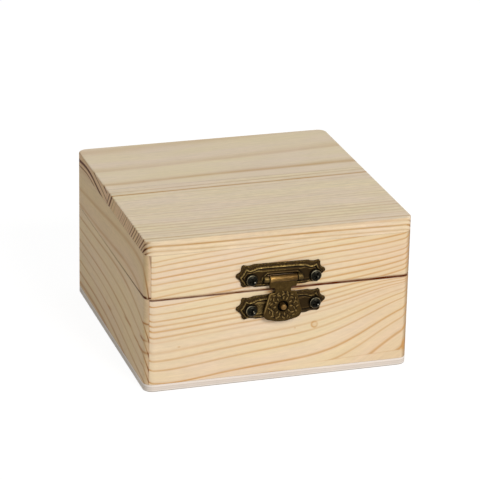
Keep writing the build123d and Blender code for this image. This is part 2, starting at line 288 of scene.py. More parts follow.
def ring_curve(rings, low, high, samples=240):
    """Darkness by ring level: each ring darkens slowly and then ends at once."""
    levels = np.linspace(low, high, samples)
    dark = np.zeros(samples)
    for level, strength, width in rings:
        offset = (levels - level) / width
        before = offset < 0
        core = np.exp(-0.5 * (offset / np.where(before, 0.85, 0.6)) ** 2)
        tail = np.where(before, 0.16 * np.exp(offset / 1.7), 0.0)
        dark = np.maximum(dark, strength * (core + tail * (1 - core)))
    return unit(dark).tolist()


def polynomial(rows, along, across):
    """Sum of rows[j][i] * along**i * across**j, as nodes."""
    total = 0.0
    for row in reversed(rows):
        inner = row[-1]
        for term in reversed(row[:-1]):
            inner = along.math("MULTIPLY_ADD", inner, term)
        total = across.math("MULTIPLY_ADD", total, inner)
    return total


def pine(
    name, side, field, span, slope, rings, seed,
    wood=FRONT_WOOD, late_wood=LATEWOOD, grain=0.3, blots=(), knots=(), joints=(),
    arc=None, fan=0.0, skin=0.0, wander=0.3, plain_strip=False, end_tint=(0.85, 0.7, 0.57),
):
    """Pine board material.

    side picks the board's axes. field over its span gives the rings. slope and fan tilt them through
    the thickness below the skin, or arc bends them. grain is how strong the fibres show, blots are
    dark spots, knots are pin knots and joints are glue lines and painted seam shade, which may grow
    from a least share to their full strength between two places along the board.
    """
    shader = Shader(name)
    place = shader.millimetres()
    x, y, z = shader.split(place)
    normal = shader.normal()
    along, depth, length_axis = {
        "front": (x, y + HALF_SIDE, 0),
        "back": (x * -1, HALF_SIDE - y, 0),
        "left": (y * -1, x + HALF_SIDE, 1),
        "right": (y, HALF_SIDE - x, 1),
        "top": (x, BOX_HEIGHT - z, 0),
    }[side]
    across = HALF_SIDE - y if side == "top" else BOX_HEIGHT - z

    # The ring field, with the small waves that real rings have
    wave = (shader.noise((along * 0.02 + seed, across * 0.09, depth), 1.0, 3.0) - 0.5) * (2 * wander)
    centre, half = span
    surface_level = across + polynomial(field, along / HALF_SIDE, (across - centre) / half) + wave
    if arc:
        level = shader.curve(surface_level / 50, [rise / 10 for rise in arc]) * 10.0 - depth
    else:
        deep = (depth - skin).math("MAXIMUM", 0.0)
        level = deep * (surface_level * fan + slope) + surface_level
    low = min(ring[0] for ring in rings) - 2.5
    high = max(ring[0] for ring in rings) + 2.5
    dark = shader.curve(level.ramp(low, high), ring_curve(rings, low, high))

    # Rings fade and darken along the board
    fade = shader.noise((along * 0.05 + (seed + 3.0), level * 0.6, 0.0), 1.0, 3.0)
    dark = dark * fade.ramp(0.3, 0.7, 0.7, 1.2)

    # Fine fibres and resin canals along the grain
    fibre = shader.noise((along * 0.07 + seed, surface_level * 1.3, depth * 1.3), 1.0, 6.0, 0.7)
    threads = (along * 0.16 + (seed + 9.0), surface_level * 4.0, depth * 4.0)
    canals = shader.noise(threads, 1.0, 1.0, 0.4).ease(0.70, 0.80)

    if plain_strip:
        # A plain band along the lower edge that widens to the right, with a thin line above it
        above = along * -0.039 + (BOX_HEIGHT - 4.3) - across
        hidden = along.ramp(-3.0, 6.0) * (1 - above.ease(-0.15, 0.25))
        dark = dark * (1 - hidden) + (above * 6.0).bell() * along.ramp(8.0, 18.0, 0.0, 0.3)
    spots = 0.0
    for spot_along, spot_across, long_half, wide_half, strength in blots:
        offset_along = (along + (HALF_SIDE - spot_along)) / long_half
        reach = length(offset_along, (across - spot_across) / wide_half)
        spots = reach.bell() * strength + spots
    dark = dark + spots
    for knot_along, knot_across, radius, strength in knots:
        offset_along = (along + (HALF_SIDE - knot_along)) / radius
        offset_across = (across - knot_across) / radius
        reach = length(offset_along, offset_across)
        lean = (offset_across - offset_along).ramp(-1.4, 1.4, 0.35, 1.0)
        heart = reach.ease(1.2, 0.7, 0.0, 0.22)
        dark = dark + (reach * 3.6 - 3.6).bell() * lean * strength + heart

    # Early wood with its fibres, ripples and drift of colour
    mottle = shader.noise((along * 0.03 + seed, across * 0.1, depth))
    ripples = shader.noise((along * 0.3 + (seed + 5.0), across * 1.1, depth * 1.1), 1.0, 3.0, 0.6)
    shade = fibre * grain + ripples * (0.5 * grain) + mottle * 0.1 + (0.95 - 0.75 * grain) - canals * 0.12
    hue = shader.noise((along * 0.025 + (seed + 7.0), surface_level * 0.12, 0.0)).ramp(0.35, 0.65)
    if side == "top":
        wood = shader.mix(normal[1].ease(-0.6, -0.93), wood, FRONT_WOOD)
    wood = shader.tinted(wood, shader.mix(hue, (1.0, 0.99, 1.03, 1), (1.0, 1.01, 0.94, 1)))
    if side == "front":
        wood = shader.tinted(wood, (0.97, 0.93, 0.89, 1), along.ease(10.0, 46.0))
        # Painted shade: front boards darker where they turn to the right, on the rounded corner and the
        # right end
        wood = shader.tinted(wood, (0.62, 0.56, 0.48, 1), normal[0].ease(0.25, 0.7))
    early = shader.tinted(wood, shade)

    # Late wood, whose rings are darker, broader and sharper on end grain, and darker on the rounded
    # corners as painted shade
    turned = abs(normal[length_axis])
    end = turned.ease(0.6, 0.93)
    dark = dark * turned.ramp(0.25, 0.9, 1.0, 2.4)
    dark = dark.ramp(0.0, 1.0)
    dark = dark * (1 - end) + dark.math("POWER", 0.55).ramp(0.3 / 1.3, 1.0) * end
    colour = shader.mix(dark, early, shader.mix(end, late_wood, END_LATEWOOD))
    if blots:
        colour = shader.mix(spots.ramp(1.0, 2.0), colour, END_LATEWOOD)
    colour = shader.tinted(colour, (*end_tint, 1), end)

    # Glue lines and painted seam shade across the boards keep to the outside of the box
    outside = abs(x).math("MAXIMUM", abs(y)).ramp(48.9, 49.4)
    uneven = shader.noise(place, 0.25).ramp(0.35, 0.65, 0.85, 1.0)
    soaked_and_shaded = end * 0.8
    for axis, position, width, strength, stain, *fade_in in joints:
        gap = ({"x": x, "y": y, "z": z}[axis] - position) / width
        share = (gap * gap).bell() * uneven * strength
        if fade_in:
            start, full, least = fade_in
            share = share * along.ramp(start, full, least, 1.0)
        if axis == "z":
            share = share * outside
        soaked_and_shaded = soaked_and_shaded.math("MAXIMUM", share)
        colour = shader.mix(share, colour, stain)

    return shader.surface(
        Base_Color=colour,
        Roughness=fibre * 0.12 + 0.52,
        Specular_IOR_Level=soaked_and_shaded.ramp(0.0, 1.0, 0.28, 0.0),
        Normal=shader.bump(fibre * 0.6 + dark * 0.5 - canals * 0.8, 0.35, 0.00008),
    )


def random_rings(seed, low, high, spacing, strength, width):
    """Rings at uneven distances for a board that the photograph doesn't show."""
    chance = random.Random(seed)
    rings = []
    level = low
    while level < high:
        rings.append((level, strength * chance.uniform(0.5, 1.0), width * chance.uniform(0.8, 1.3)))
        level += spacing * chance.uniform(0.65, 1.5)
    return rings


panel_line = ("z", BOX_HEIGHT - PANEL_TOP, 0.1, 0.5, GLUE_LINE)
plywood_line = ("z", PLYWOOD, 0.12, 0.5, GLUE_LINE)
# Painted seam shade: the seam drawn as a dark line on the boards, with a lower band on the right
painted_seam_shade = ("z", SEAM - 0.42, 0.39, 1.0, PAINTED_SEAM_SHADE, -45.0, 10.0, 0.94)
painted_seam_shade_low = ("z", SEAM - 0.74, 0.26, 0.95, PAINTED_SEAM_SHADE, -8.0, 8.0, 0.0)
painted_left_seam_shade = ("z", SEAM + 0.2, 0.36, 0.8, PAINTED_SEAM_SHADE, -16.0, 44.0, 0.1)
painted_left_seam_shade_end = ("z", SEAM + 0.3, 0.55, 1.0, PAINTED_SEAM_SHADE, 40.0, 45.0, 0.0)
front_blots = (
    (56.0, 38.6, 0.3, 0.25, 0.6), (46.4, 23.3, 1.5, 0.5, 1.0), (57.0, 23.2, 3.0, 0.4, 0.5),
    (12.5, 41.2, 0.5, 0.2, 0.8), (98.4, 50.0, 0.9, 2.0, 1.0),
)
left_marks = (
    (50.0, 45.3, 2.6, 0.5, 0.8), (95.5, 38.2, 2.4, 0.45, 1.7), (95.0, 42.9, 3.5, 0.5, 1.3),
    (97.5, 31.6, 1.5, 0.35, 1.2), (76.0, 39.9, 4.5, 0.45, 1.1), (94.5, 48.4, 1.8, 0.3, 0.5),
    (88.0, 42.0, 3.5, 0.4, 0.7),
)
left_look = {"late_wood": SHADED_LEFT_LATEWOOD, "grain": 0.42, "wander": 0.2}
top_look = {
    "wood": TOP_WOOD, "late_wood": TOP_LATEWOOD, "wander": 0.2,
    "joints": (("y", TOP_JOINT, 0.16, 0.3, GLUE_LINE),),
}
boards = {
    "lid_front_board": pine(
        "pine_lid_front", "front", LID_FRONT_FIELD, LID_SPAN, 0.8, LID_FRONT_RINGS, 1.0, wander=0.15,
        joints=(panel_line, painted_seam_shade, ("x", -LID_CORNER, 0.14, 0.4, GLUE_LINE)),
    ),
    "base_front_board": pine(
        "pine_base_front", "front", BASE_FRONT_FIELD, BASE_SPAN, 0.9, BASE_FRONT_RINGS, 2.0,
        blots=front_blots, knots=((63.4, 37.9, 1.15, 0.75),), wander=0.15, plain_strip=True,
        joints=(
            plywood_line, painted_seam_shade, painted_seam_shade_low, ("x", -BASE_CORNER, 0.12, 0.35, GLUE_LINE),
        ),
    ),
    "lid_left_board": pine(
        "pine_lid_left", "left", LID_LEFT_FIELD, LID_SPAN, -3.0, LID_LEFT_RINGS, 3.0,
        wood=SHADED_LID_LEFT_WOOD, end_tint=(1.16, 1.15, 1.38), **left_look,
        joints=(
            panel_line, painted_left_seam_shade, painted_left_seam_shade_end, ("y", LID_CORNER, 0.12, 0.4, GLUE_LINE),
            ("x", -LID_CORNER, 0.12, 0.4, GLUE_LINE),
        ),
    ),
    "base_left_board": pine(
        "pine_base_left", "left", BASE_LEFT_FIELD, BASE_SPAN, -3.0, BASE_LEFT_RINGS, 4.0,
        wood=SHADED_SIDE_WOOD, end_tint=(0.98, 0.89, 0.98), blots=left_marks, **left_look,
        joints=(
            plywood_line, painted_left_seam_shade, painted_left_seam_shade_end, ("y", BASE_CORNER, 0.12, 0.4, GLUE_LINE),
            ("x", -BASE_CORNER, 0.12, 0.35, GLUE_LINE),
        ),
    ),
    "lid_top_back_board": pine(
        "pine_top_back", "top", TOP_BACK_FIELD, (25.0, 25.0), 0.0, TOP_BACK_RINGS, 5.0,
        grain=0.32, arc=TOP_BACK_ARC, **top_look,
    ),
    "lid_top_front_board": pine(
        "pine_top_front", "top", TOP_FRONT_FIELD, (75.0, 25.0), 0.5, TOP_FRONT_RINGS, 6.0,
        grain=0.6, fan=0.0072, skin=0.7, **top_look,
    ),
}

# Boards that the photograph doesn't show, with the place of their glue line and their random rings
for part, side, field, slope, wood, axis, lap, *spread in (
    ("lid", "right", PLAIN_FIELD, 1.4, SHADED_SIDE_WOOD, "y", -LID_CORNER, 7, 0.0, 34.0, 2.9, 0.9, 0.36),
    ("base", "right", PLAIN_FIELD, 1.4, SHADED_SIDE_WOOD, "y", -BASE_CORNER, 8, 14.0, 70.0, 3.6, 0.9, 0.4),
    ("lid", "back", LID_LEFT_FIELD, 2.0, FRONT_WOOD, "x", LID_CORNER, 9, 0.0, 40.0, 3.4, 0.8, 0.36),
    ("base", "back", PLAIN_FIELD, 2.0, FRONT_WOOD, "x", BASE_CORNER, 10, 14.0, 76.0, 4.2, 0.8, 0.4),
):
    span, line = (LID_SPAN, panel_line) if part == "lid" else (BASE_SPAN, plywood_line)
    boards[f"{part}_{side}_board"] = pine(
        f"pine_{part}_{side}", side, field, span, slope, random_rings(*spread), spread[0], wood=wood,
        # Painted seam shade, as on the boards that are seen
        joints=(line, ("z", SEAM, 0.34, 0.7, PAINTED_SEAM_SHADE), (axis, lap, 0.12, 0.6, GLUE_LINE)),
    )


# ---- plywood


def plywood(name):
    """Three plies on the edge and a pale rotary-cut face."""
    shader = Shader(name)
    place = shader.millimetres()
    x, y, z = shader.split(place)
    height = z + shader.noise(place, 0.12) * 0.3 - 0.15
    middle_ply = height.ease(0.86, 0.98) * height.ease(1.92, 1.8)
    glue = ((height - 0.92) * 9.0).bell() + ((height - 1.86) * 9.0).bell()
    pores = shader.noise((x * 1.4, y * 1.4, z * 9.0), 1.0, 4.0, 0.6)
    figure = shader.noise((x * 0.03, y * 0.22, 0.0), 1.0, 5.0, 0.6, 0.6)
    edge = shader.mix(middle_ply, linear(231, 223, 217), linear(219, 210, 203))
    edge = shader.mix(glue * 0.4, edge, linear(168, 152, 132))
    edge = shader.tinted(edge, pores * 0.22 + 0.88)
    # Painted shadow: the edge darkens over its lowest half millimetre, where the box stands on the floor
    edge = shader.mix(z.ease(0.55, 0.2, 0.0, 0.8), edge, linear(112, 102, 88))
    face = shader.mix(figure.ramp(0.3, 0.7), linear(230, 212, 182), linear(208, 182, 146))
    face = shader.tinted(face, pores * 0.1 + 0.94)
    return shader.surface(
        Base_Color=shader.mix(abs(shader.normal()[2]).ease(0.6, 0.9), edge, face),
        Roughness=pores * 0.15 + 0.55,
        Specular_IOR_Level=0.25,
        Normal=shader.bump(pores, 0.3, 0.00006),
    )


boards["base_bottom_panel"] = plywood("plywood_panel")


# ---- metals


def bronze(name, dark, worn, seed, from_mesh, spread=0.5, stretch=1.0, rough=(0.52, 0.34)):
    """Antique bronze: a dark patina that is rubbed through on its high places.

    Where from_mesh is True the mesh's attribute wear_and_shade says how rubbed each place is, and
    below zero how dark a groove is: patina in the hollows and painted shade.
    """
    shader = Shader(name)
    x, y, z = shader.split(shader.millimetres())
    place = shader.vector(x * stretch + seed, y, z)
    patches = shader.noise(place, 0.8, 4.0, 0.6)
    grit = shader.noise(place, 3.4, 3.0, 0.65)
    if from_mesh:
        wear_and_shade = shader.value("ShaderNodeAttribute", output="Fac", attribute_name="wear_and_shade")
    else:
        bevel = shader.value("ShaderNodeBevel", {"Radius": 0.25 * MM}, samples=6)
        inputs = {0: bevel, 1: shader.value("ShaderNodeNewGeometry", output="Normal")}
        same = shader.value("ShaderNodeVectorMath", inputs, "Value", operation="DOT_PRODUCT")
        wear_and_shade = same.ramp(0.995, 0.85, 0.0, 0.75)
    uneven = patches * spread + grit * 0.9 - (0.5 * spread + 0.5)
    rub = wear_and_shade.math("ADD", uneven, clamp=True)
    # Painted shade: wear below zero darkens a groove toward near black, with the patina in the hollows
    deep = wear_and_shade.math("MULTIPLY", -1.6, clamp=True)
    tint = shader.mix(patches, dark, tuple(1.5 * level for level in dark[:3]) + (1.0,))
    tint = shader.mix(deep, tint, linear(16, 12, 7))
    return shader.surface(
        Base_Color=shader.mix(rub, tint, worn),
        Metallic=0.9,
        Roughness=rub.ramp(0.0, 1.0, *rough),
        Specular_IOR_Level=0.3,
        Normal=shader.bump(grit, 0.5, 0.00006),
    )


def blackened(name, heads=()):
    """Blackened steel screws with a thin greyer ring and a painted glint on each head."""
    shader = Shader(name)
    place = shader.millimetres()
    grit = shader.noise(place, 5.0, 3.0, 0.6)
    colour = shader.mix(grit.ramp(0.45, 0.75), linear(22, 21, 17), linear(48, 46, 38))
    x, y, z = shader.split(place)
    from_head = from_glint = 99.0
    for head_x, head_z in heads:
        right, above = x - head_x, z - head_z
        from_head = length(right, above).math("MINIMUM", from_head)
        from_glint = length(right - 0.85, above + 0.45).math("MINIMUM", from_glint)
    if heads:
        ring = from_head.ease(1.84, 1.96) * from_head.ease(2.12, 2.0)
        patch = shader.noise(place, 0.7).ramp(0.35, 0.6, 0.25, 0.85)
        colour = shader.mix(ring * patch, colour, linear(176, 168, 140))
        # Painted highlight: a small glint to the lower right of each head
        colour = shader.mix(from_glint.ease(0.32, 0.12), colour, linear(184, 178, 160))
    return shader.surface(
        Base_Color=colour,
        Metallic=1.0,
        Roughness=grit * 0.25 + 0.2,
        Normal=shader.bump(grit, 0.3, 0.00004),
    )


plate_bronze = bronze("bronze_plate", linear(52, 38, 17), linear(170, 145, 88), 1.0, True)
tongue_bronze = bronze("bronze_tongue", linear(59, 44, 18), linear(174, 144, 88), 5.0, True)
barrel_bronze = bronze(
    "bronze_barrel", linear(70, 51, 24), linear(178, 142, 82), 7.0, True, 0.9, 0.2, (0.5, 0.38)
)
hinge_bronze = bronze("bronze_hinge", linear(52, 42, 26), linear(160, 134, 78), 9.0, False)
pin_steel = bronze("steel_pin", linear(80, 72, 58), linear(150, 138, 110), 12.0, False)
catch_brass = bronze("brass_catch", linear(106, 80, 44), linear(214, 184, 130), 15.0, False, 0.8)


# ---- relief meshes of the latch

# Latch sizes, in millimetres from the front face or from the latch axis
LATCH_OFFSET = 0.4
LATCH_AXIS = 40.15
CATCH_HEIGHT = 29.45
PLATE_FIELD = 0.95
PLATE_RIM = 1.3
PLATE_BUMP = 13.9
BUMP_WIDTH = 0.9
ARC_START = PLATE_BUMP - 4 * BUMP_WIDTH
PLATE_TIP = 16.8
PLATE_RISE = 4.4
SCREW_SPREAD = 12.0
SCREW_SHIFT = 0.45
SEAT_RADIUS = 2.35
AXIS_OUT = 1.9
BARREL_HALF = 5.15
BARREL_RADIUS = 1.4
KNUCKLE_START = BARREL_HALF + 0.25
KNUCKLE_WIDTH = 1.9
KNUCKLE_RADIUS = 1.25
FRAME_REACH = KNUCKLE_START + KNUCKLE_WIDTH + 0.25
FRAME_HEIGHT = 1.9
FRAME_CORNER = 1.82
FRAME_FOOT = 1.7
WINDOW_HALF = 1.2

# The right half of a plate's outline, as arcs: a middle point and an end, by bump widths from the
# bump, share of the way from the bump to the tip, and share of the rise
PLATE_ARCS = (
    ((-2, 0, 0.9), (0, 0, 0.97)),
    ((0.7, 0, 0.91), (1, 0, 0.73)),
    ((1, 0.15, 0.45), (1, 0.6, 0.27)),
    ((1, 1, 0.06), (1, 0.72, -0.15)),
    ((1, 0.27, -0.34), (0.9, 0, -0.6)),
    ((0.6, 0, -0.86), (-0.4, 0, -0.95)),
    ((-2.6, 0, -0.89), (-4.9, 0, -1)),
)

# Crest of a plate's raised rim: its right half, as curved pieces that meet in cusps
CREST = (
    ((0.0, 3.05), (8.6, 2.98), (9.6, 2.66), (10.5, 2.22), (11.5, 2.06), (12.4, 2.22), (13.15, 2.78)),
    ((13.15, 2.78), (13.45, 1.9), (14.0, 0.9), (15.0, -0.2)),
    ((15.0, -0.2), (14.5, -1.2), (13.7, -2.2), (13.0, -3.3)),
    ((13.0, -3.3), (12.3, -2.95), (11.2, -3.05), (10.2, -3.36), (0.0, -3.5)),
)


def new_object(name, data):
    thing = bpy.data.objects.new(name, data)
    bpy.context.scene.collection.objects.link(thing)
    return thing


def mesh_object(name, corners, faces, materials):
    mesh = bpy.data.meshes.new(name)
    mesh.from_pydata(corners, [], faces)
    for material in materials:
        mesh.materials.append(material)
    return new_object(name, mesh)


def mirrored(half, shift):
    """A closed line from its right half, whose ends lie on the middle line."""
    other = [(-u, w) for u, w in reversed(half[1:-1])]
    return [(u + shift, w) for u, w in half + other]


def arc_points(start, middle, end, steps):
    """Points on the circle arc through three points, without the start."""
    first, second, last = (complex(*point) for point in (start, middle, end))
    ratio = (last - first) / (second - first)
    centre = first + (second - first) * (ratio - abs(ratio) ** 2) / (2j * ratio.imag)
    arm = first - centre
    to_middle, to_end = (cmath.phase((point - centre) / arm) % math.tau for point in (second, last))
    if to_middle > to_end:
        to_end -= math.tau
    turned = (centre + arm * cmath.exp(1j * to_end * k / steps) for k in range(1, steps + 1))
    return [(point.real, point.imag) for point in turned]


def plate_outline(shift):
    """The latch plate's outline, clockwise from the middle of its top edge."""
    half = [(0.0, PLATE_RISE), (ARC_START, PLATE_RISE)]
    to_tip = PLATE_TIP - PLATE_BUMP - BUMP_WIDTH
    for arc in PLATE_ARCS:
        middle, end = (
            (PLATE_BUMP + along * BUMP_WIDTH + share * to_tip, rise * PLATE_RISE)
            for along, share, rise in arc
        )
        half += arc_points(half[-1], middle, end, 7)
    half.append((0.0, -PLATE_RISE))
    return mirrored(half, shift)


def distance_to(points, line):
    """Least distance from each point to a closed line."""
    line = np.asarray(line, float)
    best = np.full(len(points), 1e9)
    for start, end in zip(line, np.roll(line, -1, 0)):
        run = end - start
        size = float(run @ run) or 1e-12
        share = unit((points - start) @ run / size)
        best = np.minimum(best, np.hypot(*(points - start - share[:, None] * run).T))
    return best


def inside(points, line):
    """True for the points inside a closed line."""
    line = np.asarray(line, float)
    within = np.zeros(len(points), bool)
    for start, end in zip(line, np.roll(line, -1, 0)):
        spans = (start[1] > points[:, 1]) != (end[1] > points[:, 1])
        rise = end[1] - start[1] or 1e-12
        cross = start[0] + (points[:, 1] - start[1]) * (end[0] - start[0]) / rise
        within ^= spans & (points[:, 0] < cross)
    return within


def resample(line, step):
    """A closed line with points about a step apart, its corners kept."""
    result = []
    for start, end in zip(line, line[1:] + line[:1]):
        pieces = max(1, round(math.dist(start, end) / step))
        for k in range(pieces):
            share = k / pieces
            result.append(tuple(a + (b - a) * share for a, b in zip(start, end)))
    return result


def relief(lines, cell, shape, base):
    """Vertices (u, w, out), faces and wear_and_shade of a plate whose front has the height and
    wear_and_shade of shape.

    lines are its outline and the outlines of its holes.
    """
    loops = [resample(line, cell) for line in lines]

    def on_plate(places):
        return np.logical_xor.reduce([inside(places, loop) for loop in loops])

    rim = np.array(sum(loops, []))
    edges = []
    for loop in loops:
        first = len(edges)
        edges += [(first + k, first + (k + 1) % len(loop)) for k in range(len(loop))]
    low, high = rim.min(0), rim.max(0)
    rows = np.arange(low[1], high[1], cell * 0.87)
    columns = np.arange(low[0], high[0], cell)
    grid = np.array([(u + 0.5 * cell * (k % 2), w) for k, w in enumerate(rows) for u in columns])
    from_rim = np.min([distance_to(grid, loop) for loop in loops], 0)
    points = np.concatenate([rim, grid[on_plate(grid) & (from_rim > 0.55 * cell)]])
    made = delaunay_2d_cdt([Vector(p) for p in points], edges, [], 0, 1e-7)
    flat = np.array([tuple(v) for v in made[0]])
    faces = np.array([tuple(f) for f in made[2] if len(f) == 3])
    faces = faces[on_plate(flat[faces].mean(1))]
    a, b, c = flat[faces].transpose(1, 2, 0)
    backward = (b[0] - a[0]) * (c[1] - a[1]) < (b[1] - a[1]) * (c[0] - a[0])
    faces[backward] = faces[backward][:, ::-1]
    count = len(flat)
    height, wear_and_shade = shape(flat)
    front = np.column_stack([flat, height])
    back = np.column_stack([flat, np.full(count, base)])
    sides = dict.fromkeys((face[k], face[(k + 1) % 3]) for face in faces for k in range(3))
    all_faces = [tuple(face) for face in faces]
    all_faces += [tuple(count + k for k in reversed(face)) for face in faces]
    all_faces += [
        (start, start + count, end + count, end) for start, end in sides if (end, start) not in sides
    ]
    return np.concatenate([front, back]), all_faces, np.tile(wear_and_shade, 2)


def lathe(profile, axis_start, steps=40):
    """A closed profile (along the axis, radius) turned round the line out from axis_start."""
    corners, faces = [], []
    count = len(profile)
    for k in range(steps):
        angle = math.tau * k / steps
        for along, radius in profile:
            offset = (along, radius * math.sin(angle), radius * math.cos(angle))
            corners.append([start + part for start, part in zip(axis_start, offset)])
        here, there = k * count, (k + 1) % steps * count
        for j in range(count):
            after = (j + 1) % count
            faces.append((here + j, here + after, there + after, there + j))
    return np.array(corners), faces


def rounded_tube(span, radius, bore, rounding, waist=0.0):
    """Profile of a short tube along its axis, with rounded ends."""
    end = [(0.0, bore)]
    for k in range(5):
        angle = math.pi / 2 * k / 4
        end.append((rounding * (1 - math.cos(angle)), radius - rounding * (1 - math.sin(angle))))
    middle = [(span * share, radius - waist) for share in (0.25, 0.5, 0.75)]
    return end + middle + [(span - along, out) for along, out in reversed(end)]


def face_frame(height, tilt):
    """Turns (u, w, out) in millimetres into places in metres on the front face."""
    sine, cosine = math.sin(math.radians(tilt)), math.cos(math.radians(tilt))
    axes = np.array(((cosine, 0, -sine), (sine, 0, cosine), (0, -1, 0)))
    origin = np.array((LATCH_OFFSET, -HALF_SIDE, height))
    return lambda corners: (origin + np.asarray(corners, float) @ axes) * MM


def make_piece(name, parts, body, stands_for):
    """One mesh from parts, each with its vertices, faces, wear_and_shade and material."""
    vertices, faces, worn, finish = [], [], [], []
    used = list(dict.fromkeys(part[3] for part in parts))
    for corners, part_faces, wear_and_shade, material in parts:
        first = len(vertices)
        vertices += [tuple(corner) for corner in corners]
        faces += [tuple(int(first + k) for k in face) for face in part_faces]
        worn += list(wear_and_shade)
        finish += [used.index(material)] * len(part_faces)
    piece = mesh_object(name, vertices, faces, used)
    mesh = piece.data
    mesh.validate()
    attribute = mesh.attributes.new("wear_and_shade", "FLOAT", "POINT")
    attribute.data.foreach_set("value", np.array(worn, np.float32))
    mesh.polygons.foreach_set("material_index", finish)
    with bpy.context.temp_override(object=piece, selected_editable_objects=[piece]):
        bpy.ops.object.shade_smooth_by_angle(angle=math.radians(50))
    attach(piece, body)
    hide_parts(stands_for)


def ripple(points, seed, size):
    """Seeded smooth noise from -1 to 1, made of a few waves."""
    chance = random.Random(seed)
    total = np.zeros(len(points))
    for _ in range(14):
        angle = chance.uniform(0, math.tau)
        wave = chance.uniform(0.6, 1.5) / size
        phase = chance.uniform(0, math.tau)
        across = points[:, 0] * math.cos(angle) + points[:, 1] * math.sin(angle)
        total += np.sin(math.tau * wave * across + phase)
    return total / 5.0


def ridge(distance, width):
    """A rounded ridge of height one."""
    return np.exp(-((distance / width) ** 2))


def rounded(line):
    """A line with its corners cut three times over, its ends kept."""
    for _ in range(3):
        cut = [line[0]]
        for (ax, ay), (bx, by) in zip(line, line[1:]):
            cut.append((0.75 * ax + 0.25 * bx, 0.75 * ay + 0.25 * by))
            cut.append((0.25 * ax + 0.75 * bx, 0.25 * ay + 0.75 * by))
        cut.append(line[-1])
        line = cut
    return line


def plate_height(shift, screw_drop, window_drop=None):
    """Outline of a plate, and the function of its front's height and wear_and_shade."""
    outline = plate_outline(shift)
    half = [point for piece in CREST for point in rounded(piece)[:-1]]
    crest = mirrored(half + [CREST[-1][-1]], shift)
    screws = [(SCREW_SHIFT + side * SCREW_SPREAD, -screw_drop) for side in (-1, 1)]

    def shape(points):
        u, w = points.T
        from_edge = distance_to(points, outline)
        from_crest = distance_to(points, crest)
        within = inside(points, crest)
        rough = ripple(points, 3, 0.5)
        coarse = ripple(points, 17, 1.1)
        lower = unit(-w - 1.5)
        middle = unit((9.5 - np.abs(u - shift)) / 2.5) * (1 - lower)
        border = 0.62 + 0.2 * unit(from_edge / 1.5) + 0.07 * rough
        floor = PLATE_FIELD + 0.025 * rough
        line = ridge(from_crest, np.where(within, 0.24, 0.3))
        groove = np.where(within, ridge(from_crest - 0.56, 0.24), ridge(from_crest - 0.6, 0.25) * 0.6)
        second = within * ridge(from_crest - 0.85 - 0.6 * middle, 0.2 + 0.1 * middle)
        height = np.where(within, floor, border) - 0.13 * groove + 0.12 * second
        height += (PLATE_RIM - height) * line
        # Grooves beside the crest: lowered, and darkened with patina and painted shade
        wear_and_shade = -0.08 + 0.05 * rough - 0.5 * groove
        wear_and_shade += np.where(within, -0.15 * unit(u / 4.0), 0.05 + 0.14 * coarse + 0.14 * rough)
        wear_and_shade += line * ((0.7 - 0.36 * lower) * (0.8 if window_drop is None else 1) + 0.14 * coarse)
        wear_and_shade += second * (0.5 - 0.12 * middle - 0.15 * lower) + 0.1 * (from_edge < 0.25)
        if window_drop is None:
            # The lower plate is duller right of the tongue and rubbed left of it, with a painted
            # highlight at the lower right of its left screw
            patch = np.exp(-(((u + 8.3) / 1.5) ** 4) - ((w + 0.6) / 2.6) ** 4)
            painted_glint = ridge(np.hypot(u + 9.75, w + 2.35), 0.5)
            wear_and_shade += 0.42 * within * patch * (0.7 + 0.6 * rough) + 0.8 * painted_glint - 0.3 * line * (u > 0)
            # Painted shade: the plate under the tongue's hole is dark
            wear_and_shade[np.hypot(u, w) < 2.4] = -0.6
        else:
            frame_line = hex_frame(window_drop)
            from_frame = distance_to(points, frame_line)
            framed = inside(points, frame_line)
            top_only = unit((w + window_drop + 1.2) / 0.8)
            frame_ridge = ridge(from_frame, 0.2) * top_only
            # Painted shade: a band just outside the frame's upper ridge, and the field inside the frame
            # round the barrel
            shade = ridge(from_frame - 0.45, 0.3) * top_only
            height[framed] = PLATE_FIELD - 0.2
            height += (PLATE_RIM - 0.02 - height) * frame_ridge
            wear_and_shade = np.where(framed, -0.45, wear_and_shade - 0.35 * shade)
            wear_and_shade += frame_ridge * (0.35 + 0.5 * unit((np.abs(u) - 4.5) / 2.0))
        for head_u, head_w in screws:
            away = np.hypot(u - head_u, w - head_w)
            seat = unit((SEAT_RADIUS + 0.25 - away) / 0.25)
            height += (np.minimum(height, PLATE_FIELD - 0.02) - height) * seat
            near = unit((SEAT_RADIUS + 0.3 - away) / 0.3)
            wear_and_shade = np.where(near > 0, np.minimum(wear_and_shade, 0.3) * (1 - near) - 0.4 * near, wear_and_shade)
        lip = 0.4 + 0.35 * np.sqrt(unit(from_edge / 0.3))
        return np.where(from_edge < 0.3, np.minimum(height, lip), height), wear_and_shade

    return outline, shape


def hex_frame(drop):
    """The raised frame round the window: a rectangle with cut upper corners."""
    reach, foot, top = FRAME_REACH, -FRAME_FOOT - drop, FRAME_HEIGHT - drop
    inner, side = reach - FRAME_CORNER, top - FRAME_CORNER
    return [(-reach, foot), (reach, foot), (reach, side), (inner, top), (-inner, top), (-reach, side)]


def plate_piece(side, body, height, tilt, shift, screw_drop, window_drop=None, extra=()):
    """A latch plate as a relief mesh that stands for its CAD node."""
    outline, shape = plate_height(shift, screw_drop, window_drop)
    lines = [outline]
    if window_drop is not None:
        reach, low, high = KNUCKLE_START, -WINDOW_HALF - window_drop, WINDOW_HALF - window_drop
        lines.append([(-reach, low), (-reach, high), (reach, high), (reach, low)])
    corners, faces, wear_and_shade = relief(lines, 0.14, shape, 0.0)
    parts = [(face_frame(height, tilt)(corners), faces, wear_and_shade, plate_bronze), *extra]
    make_piece(f"latch_{side}_relief", parts, body, f"latch_{side}_plate")


UPPER_DROP = 1.15
UPPER_SCREW_DROP = 1.35
LOWER_SCREW_DROP = 0.65
